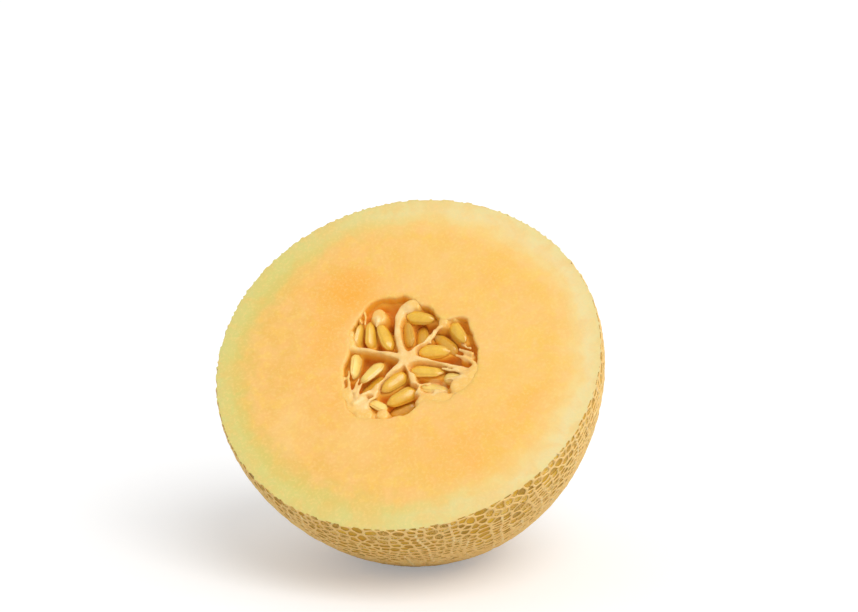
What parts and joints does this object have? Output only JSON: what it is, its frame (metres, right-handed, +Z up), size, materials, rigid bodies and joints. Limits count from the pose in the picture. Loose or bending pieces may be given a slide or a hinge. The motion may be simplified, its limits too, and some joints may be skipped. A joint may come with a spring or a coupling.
{
  "type": "halved netted melon",
  "caption": "Half of a netted yellow melon, cut across, with orange flesh, star-shaped seed pulp and flat seeds, resting on its rind.",
  "frame": {"origin": "middle of the small flat spot that the half rests on", "axes": "+Z up; the cut face looks forwards (-Y) and up, and the stem end points backwards (+Y) and down"},
  "size_m": [0.1306, 0.1211, 0.1205],
  "materials": {
    "melon_half": "moist granular flesh, orange towards the middle and green-yellow at the rim; dry corky net on golden skin outside",
    "netted_rind": "dry corky cream net standing proud of smooth golden skin",
    "stem_scar": "dry grey-brown cork, finely cracked",
    "seed_pulp": "wet, pale, slightly translucent fibres",
    "seed_coat": "wet golden-cream seed coat, smooth"
  },
  "bodies": {
    "root": {"melon_half": "melon_half", "seed_pulp": "seed_pulp", "seed_01": "seed_coat", "seed_02": "seed_coat", "seed_03": "seed_coat", "seed_04": "seed_coat", "seed_05": "seed_coat", "seed_06": "seed_coat", "seed_07": "seed_coat", "seed_08": "seed_coat", "seed_09": "seed_coat", "seed_10": "seed_coat", "seed_11": "seed_coat", "seed_12": "seed_coat", "seed_13": "seed_coat", "seed_14": "seed_coat", "seed_15": "seed_coat", "seed_16": "seed_coat", "seed_17": "seed_coat", "seed_18": "seed_coat", "seed_19": "seed_coat", "seed_20": "seed_coat", "seed_21": "seed_coat"}
  },
  "joints": []
}
